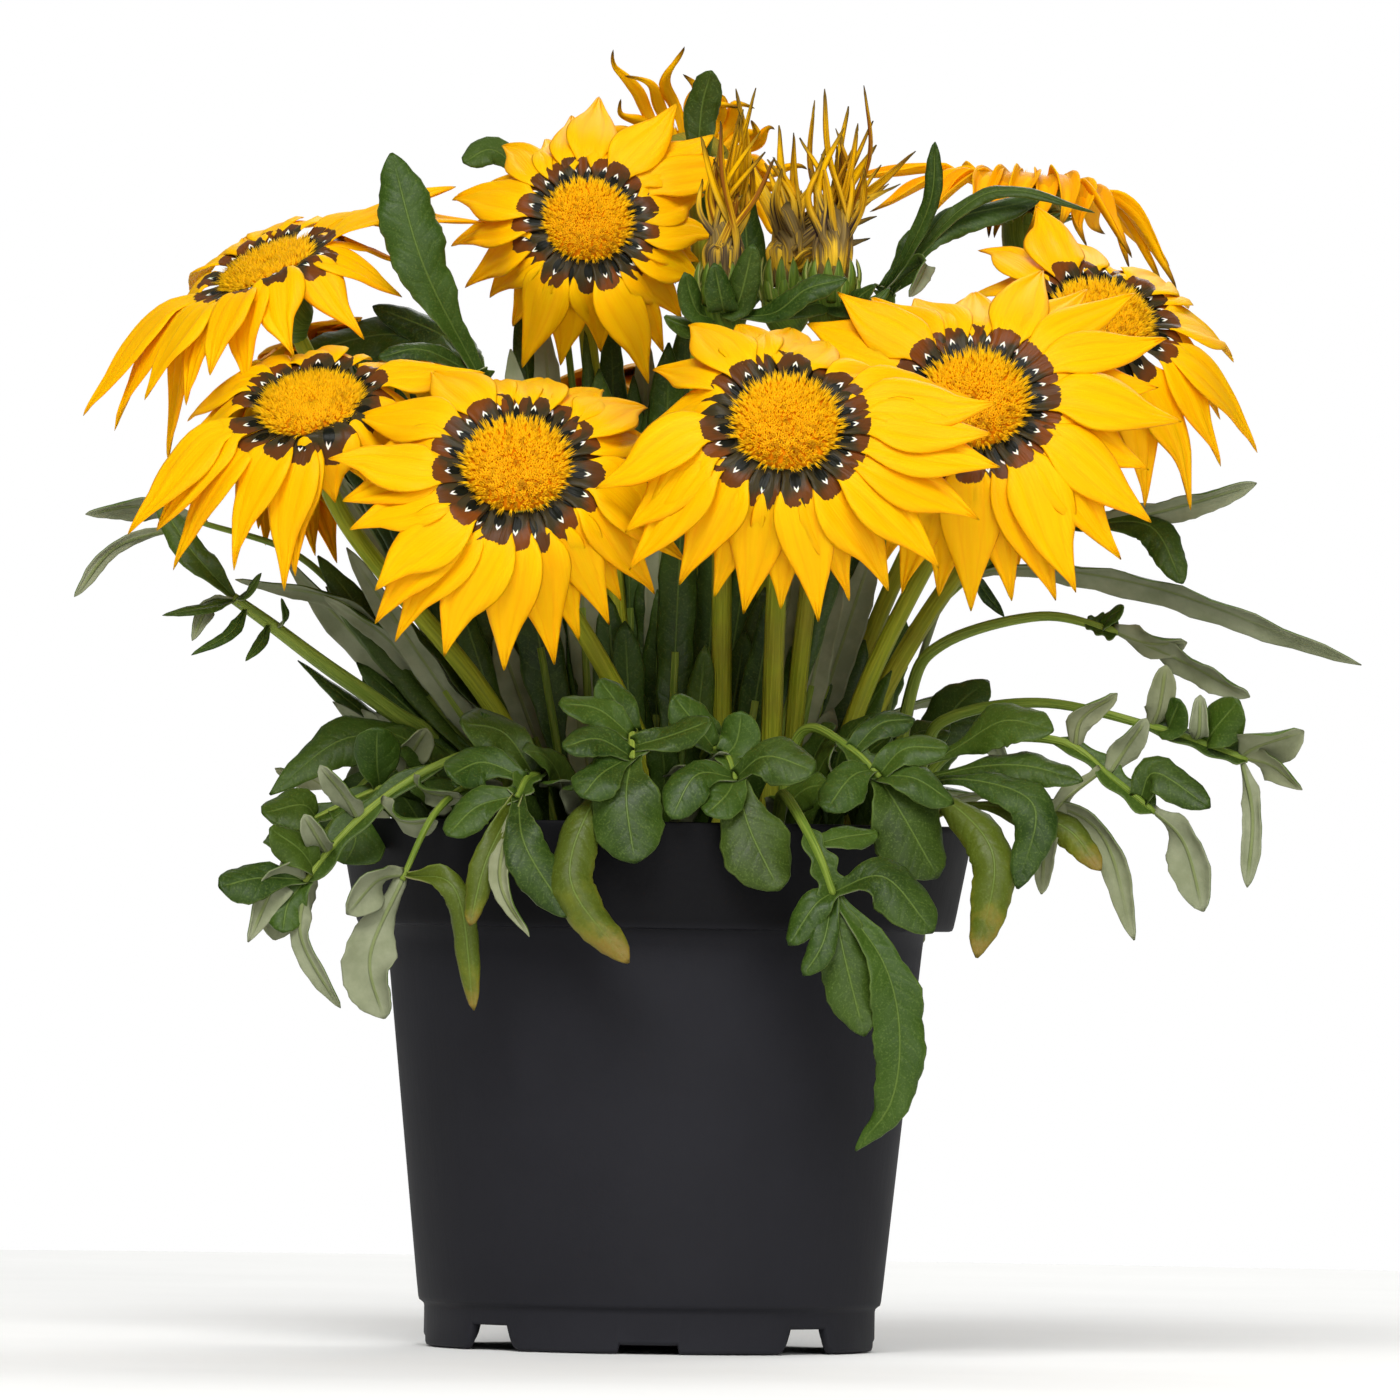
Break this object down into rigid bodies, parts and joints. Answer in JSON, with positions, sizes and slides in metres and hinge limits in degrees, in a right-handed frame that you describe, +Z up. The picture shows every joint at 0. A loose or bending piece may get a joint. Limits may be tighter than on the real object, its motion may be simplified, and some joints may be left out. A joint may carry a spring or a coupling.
{
  "type": "potted gazania",
  "caption": "Flowering gazania plant in its nursery pot: open daisy-like blooms, spent blooms, stems and lobed leaves standing in a pot of soil.",
  "frame": {"origin": "centre of the pot's underside, on the surface that it stands on", "axes": "+Z up along the pot's axis, -Y towards the plant's best side, +X to the right when seen from that side"},
  "size_m": [0.264, 0.1798, 0.2674],
  "materials": {
    "pot": "satin charcoal plastic, faint mould lines",
    "soil": "moist peat and bark, crumbly",
    "petal": "silky golden yellow with amber folds, brown spots at the base",
    "disc": "velvety orange florets",
    "stem": "fleshy olive green, fine hairs",
    "leaf": "glossy dark green above, grey felt below",
    "withered": "dry, creased, olive yellow with brown streaks"
  },
  "bodies": {
    "root": {"pot": "pot", "soil": "soil", "stem_1": "stem", "rays_1": "petal", "disc_1": "disc", "stem_2": "stem", "rays_2": "petal", "disc_2": "disc", "stem_3": "stem", "rays_3": "petal", "disc_3": "disc", "stem_4": "stem", "rays_4": "petal", "disc_4": "disc", "stem_5": "stem", "rays_5": "petal", "disc_5": "disc", "stem_6": "stem", "rays_6": "petal", "disc_6": "disc", "stem_7": "stem", "rays_7": "petal", "disc_7": "disc", "stem_8": "stem", "rays_8": "petal", "disc_8": "disc", "stem_9": "stem", "rays_9": "petal", "disc_9": "disc", "stem_back_left": "stem", "rays_back_left": "petal", "disc_back_left": "disc", "stem_back_middle": "stem", "rays_back_middle": "petal", "disc_back_middle": "disc", "stem_back_right": "stem", "rays_back_right": "petal", "disc_back_right": "disc", "stem_bud_a": "stem", "bud_a": "withered", "stem_bud_b": "stem", "bud_b": "withered", "stem_bud_c": "stem", "bud_c": "withered", "leaves_left_low": "leaf", "leaves_left_big": "leaf", "leaves_shoot_left": "leaf", "leaves_leaf_tall": "leaf", "leaves_centre_left": "leaf", "leaves_centre_mid": "leaf", "leaves_centre_right": "leaf", "leaves_right_rosette": "leaf", "leaves_right_low": "leaf", "leaves_right_mid": "leaf", "leaves_straps_right": "leaf", "leaves_right_up": "leaf", "leaves_top_right": "leaf", "leaves_back_left": "leaf", "leaves_back_middle": "leaf", "leaves_back_right": "leaf"}
  },
  "joints": []
}
